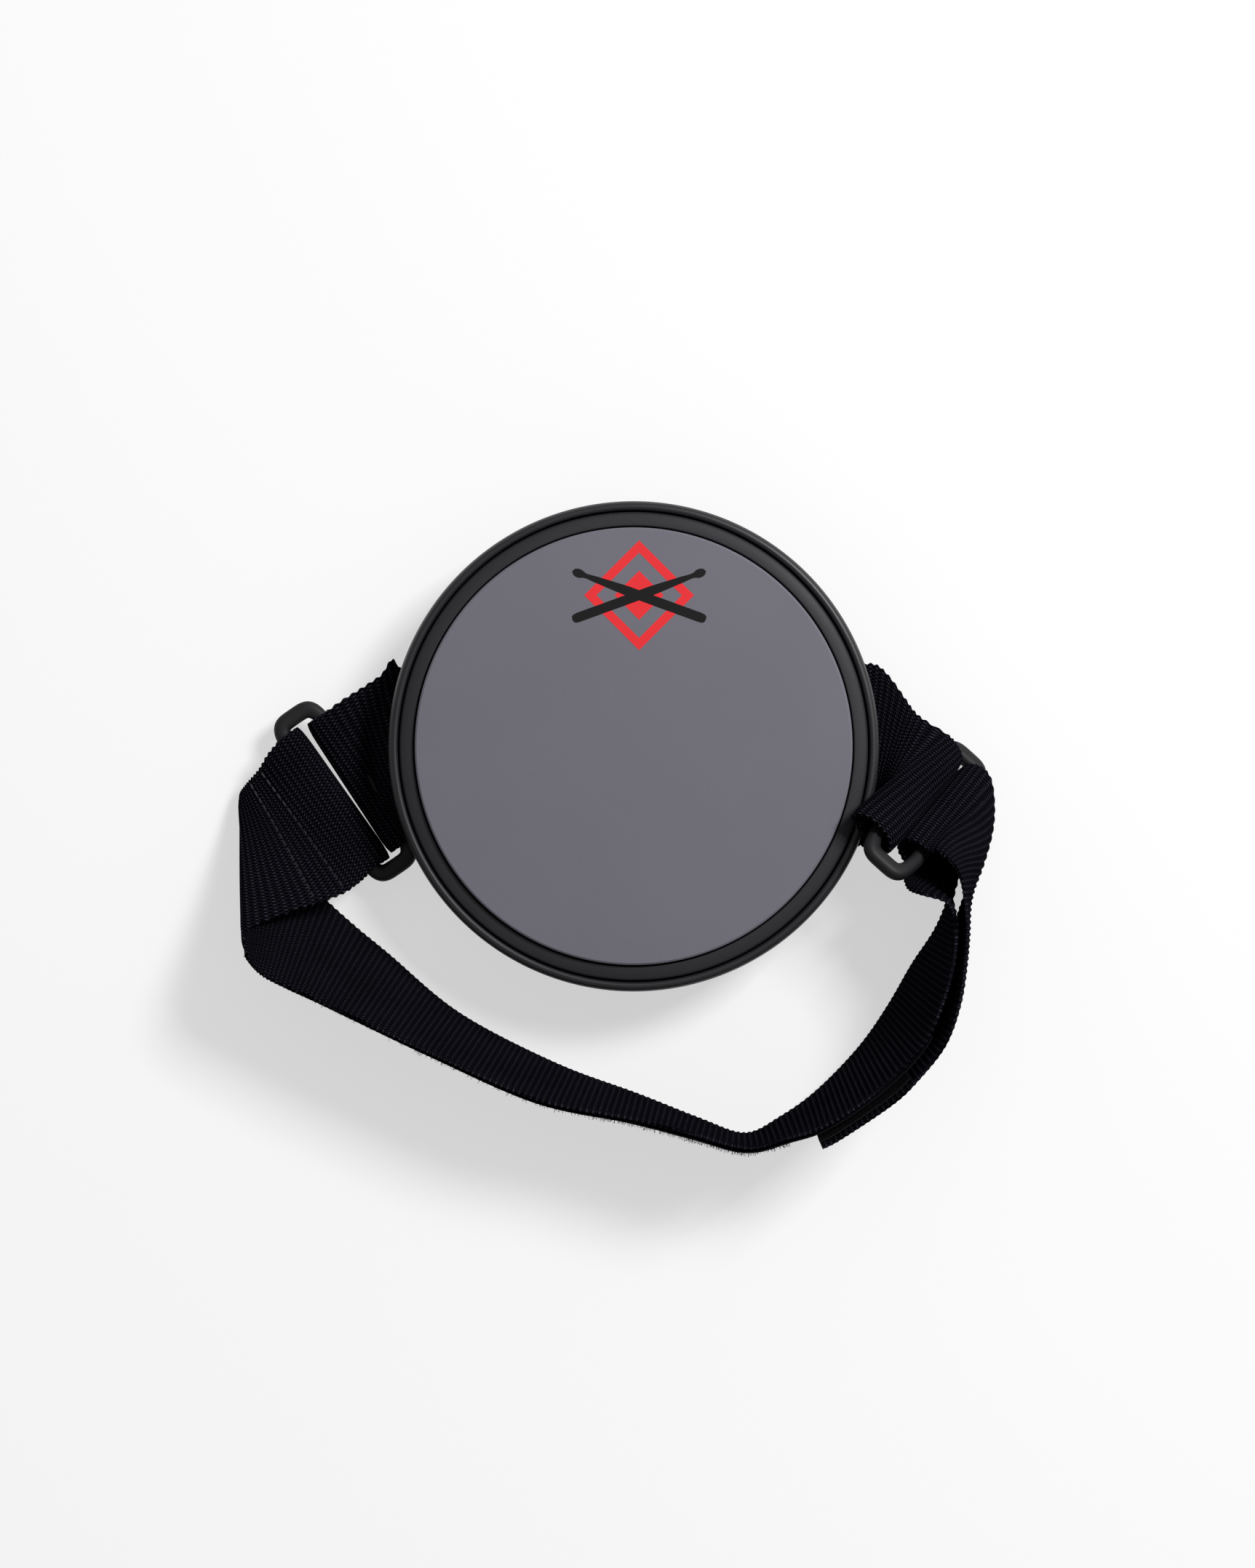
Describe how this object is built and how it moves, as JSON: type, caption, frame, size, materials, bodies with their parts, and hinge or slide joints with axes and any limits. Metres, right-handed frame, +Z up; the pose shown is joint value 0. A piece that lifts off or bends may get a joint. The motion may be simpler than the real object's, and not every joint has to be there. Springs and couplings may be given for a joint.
{
  "type": "practice pad",
  "caption": "Round rubber practice pad in a plastic tray, worn on the thigh with a webbing strap, slide rings and a hook-and-loop closure.",
  "frame": {"origin": "on the pad's axis, at the level of the floor that the grip pads rest on", "axes": "+Z up through the playing face, +X from the left ring towards the right ring, the strap loop lies on the -Y side"},
  "size_m": [0.2413, 0.2019, 0.0502],
  "materials": {
    "grey_rubber": "satin slate-grey rubber with a fine matt grain",
    "black_rubber": "matt moulded black rubber",
    "foam": "closed-cell foam",
    "grip_foam": "dense non-slip foam rubber",
    "tray_plastic": "satin black moulded plastic",
    "screw_steel": "zinc-plated steel",
    "webbing": "woven black webbing",
    "ring_plastic": "smooth black moulded plastic",
    "loop_tape": "fuzzy black loop pile",
    "hook_tape": "black hook tape"
  },
  "bodies": {
    "root": {"playing_disc": "grey_rubber", "under_pad": "black_rubber", "foam_core": "foam", "base_tray": "tray_plastic", "cover_plate": "tray_plastic", "cover_screws": "screw_steel", "front_web_clamp": "tray_plastic", "rear_web_clamp": "tray_plastic", "left_grip_pad": "grip_foam", "right_grip_pad": "grip_foam", "base_webbing": "webbing"},
    "leg_loop": {"left_tab": "webbing", "right_tab": "webbing", "strap_left": "webbing", "strap_hem": "webbing", "strap_run": "webbing", "strap_right": "webbing", "strap_over": "webbing", "loop_tape": "loop_tape"},
    "left_ring": {"left_ring": "ring_plastic"},
    "right_ring": {"right_ring": "ring_plastic"},
    "strap_end": {"strap_end": "webbing", "hook_tape": "hook_tape"}
  },
  "joints": [
    {"name": "leg_loop_swing", "type": "hinge", "parent": "root", "child": "leg_loop", "pos_m": [0, 0, 0.0143], "axis": [1, 0, 0], "range_deg": [0, 80], "deforming": ["left_tab", "right_tab"]},
    {"name": "left_ring_rock", "type": "hinge", "parent": "leg_loop", "child": "left_ring", "pos_m": [-0.08464, -0.00966, 0.0095], "axis": [0.5635, -0.8261, 0], "range_deg": [-4, 4]},
    {"name": "right_ring_rock", "type": "hinge", "parent": "leg_loop", "child": "right_ring", "pos_m": [0.08538, -0.01455, 0.0245], "axis": [-0.505, -0.5609, 0.6561], "range_deg": [-4, 4]},
    {"name": "strap_end_peel", "type": "hinge", "parent": "leg_loop", "child": "strap_end", "pos_m": [0.08472, -0.09829, 0.0255], "axis": [0.1115, -0.1891, 0.9756], "range_deg": [0, 65]}
  ]
}
